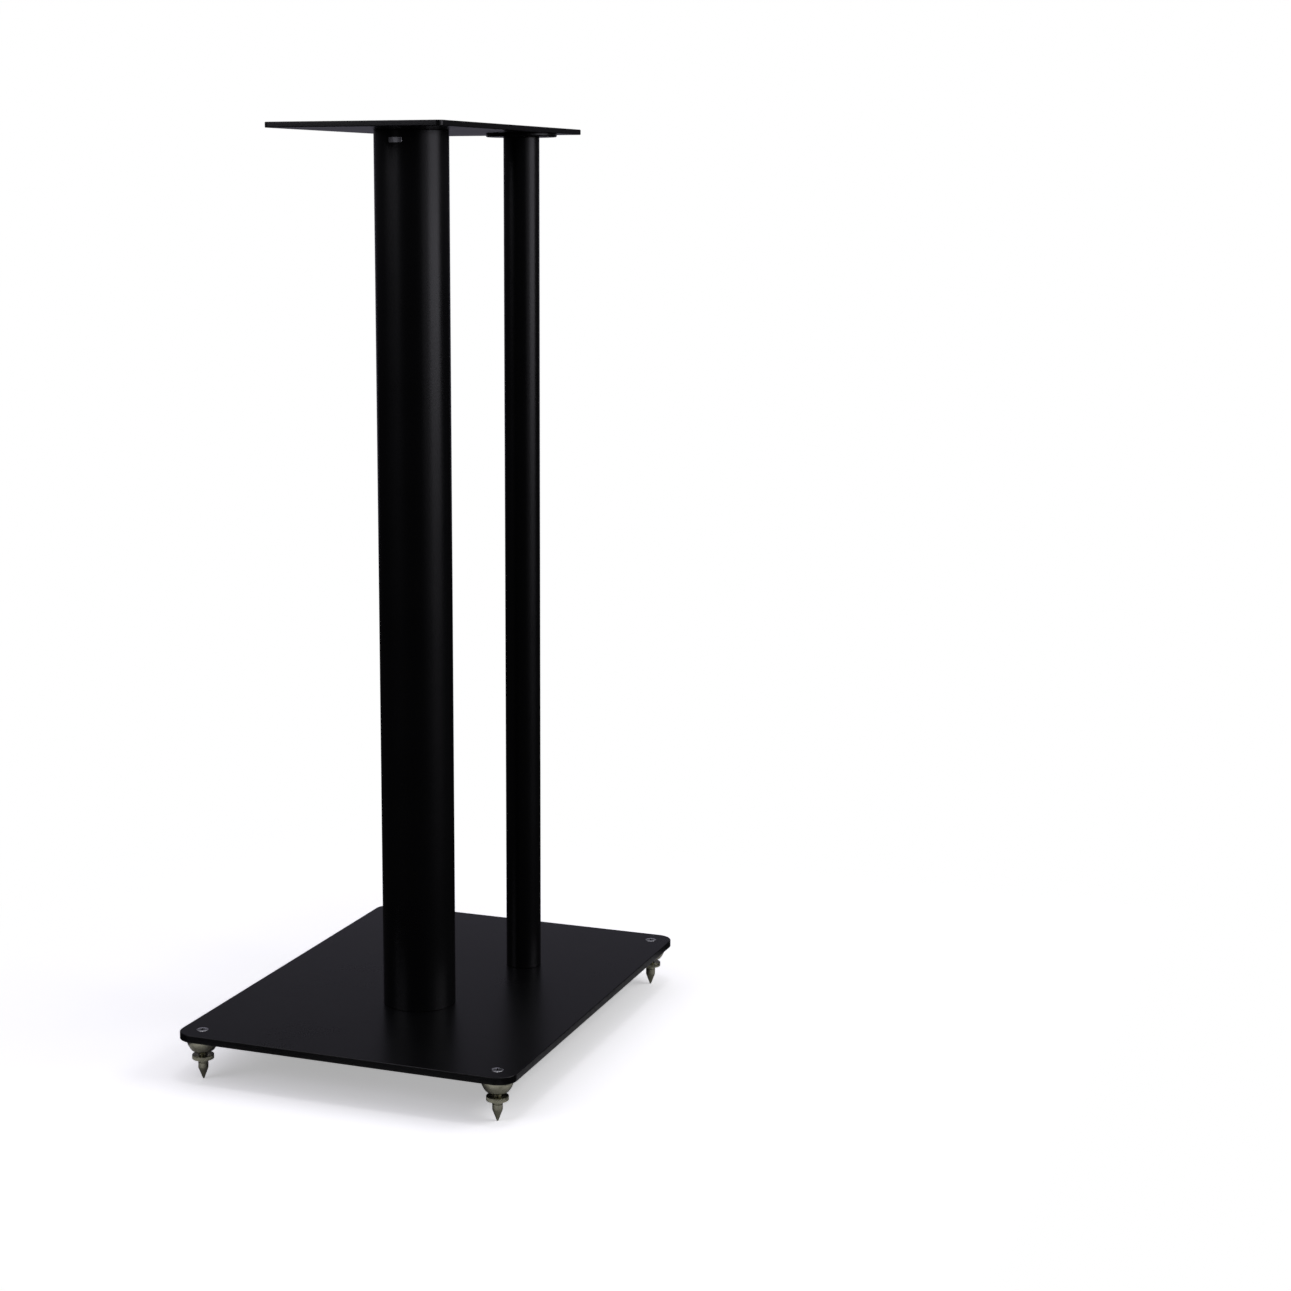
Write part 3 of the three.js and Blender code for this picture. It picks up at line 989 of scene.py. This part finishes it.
# The room: (height, brightness), from straight down at 0 to straight up at 1.
ROOM_LEVELS = [(0.0, 0.03), (0.47, 0.035), (0.52, 0.055), (0.65, 0.044), (0.8, 0.08), (1.0, 0.3)]
ROOM_TINT = (1.02, 0.99, 1.16)
COOL = (1.0, 0.98, 1.09)
VIOLET = (1.04, 1.0, 1.26)

make_floor()
make_world()
# name, place, target, width, height, radiance, colour
softbox("overhead", (0.35, -0.35, 2.2), (0, 0, 0), 0.3, 0.3, 6.0)
softbox("ceiling", (0.6, 0.2, 2.2), (0.6, 0.2, 0), 4.0, 4.0, 0.2)
softbox("right_high", (1.72, 0.3, 1.57), (0, 0, 0), 1.4, 0.7, 2.4)
softbox("right", (4.0, 0.35, 0.66), (0, 0, 0.66), 2.6, 0.92, 1.55, COOL)
softbox("right_soft", (3.72, -1.47, 0.66), (0, 0, 0.66), 2.0, 0.92, 0.34, COOL)
softbox("left_fill", (-1.26, -1.66, 1.25), (0, 0, 0.6), 1.5, 0.7, 1.7, COOL)
softbox("left_card", (-1.0, -2.34, 0.64), (0, 0, 0.64), 0.6, 0.35, 0.17, COOL)
softbox("backdrop", (-0.9, 2.33, 0.35), (0, 0, 0.35), 3.2, 0.7, 0.16, VIOLET)

# The camera, matched to the photograph. Angles in degrees, pixels of the photograph.
CAMERA_PLACE = (0.7022, -1.5628, 0.5962)
CAMERA_YAW = 21.106
CAMERA_PITCH = 9.027
SENSOR_WIDTH = 36  # mm, as Blender counts it
NEAREST, FARTHEST = 0.01, 100
FOCAL_PIXELS = 2450.66
PHOTO_SIZE = 1291
CENTRE_PIXEL = (566.7, 587.75)


def make_camera():
    data = bpy.data.cameras.new("camera")
    camera = bpy.data.objects.new("camera", data)
    bpy.context.scene.collection.objects.link(camera)
    data.sensor_width = SENSOR_WIDTH
    data.lens = FOCAL_PIXELS / PHOTO_SIZE * data.sensor_width
    data.shift_x = (PHOTO_SIZE / 2 - CENTRE_PIXEL[0]) / PHOTO_SIZE
    data.shift_y = (CENTRE_PIXEL[1] - PHOTO_SIZE / 2) / PHOTO_SIZE
    data.clip_start = NEAREST
    data.clip_end = FARTHEST
    camera.location = CAMERA_PLACE
    camera.rotation_euler = (math.radians(90 - CAMERA_PITCH), 0, math.radians(CAMERA_YAW))
    bpy.context.scene.camera = camera


make_camera()
bpy.context.scene.view_settings.view_transform = "Standard"
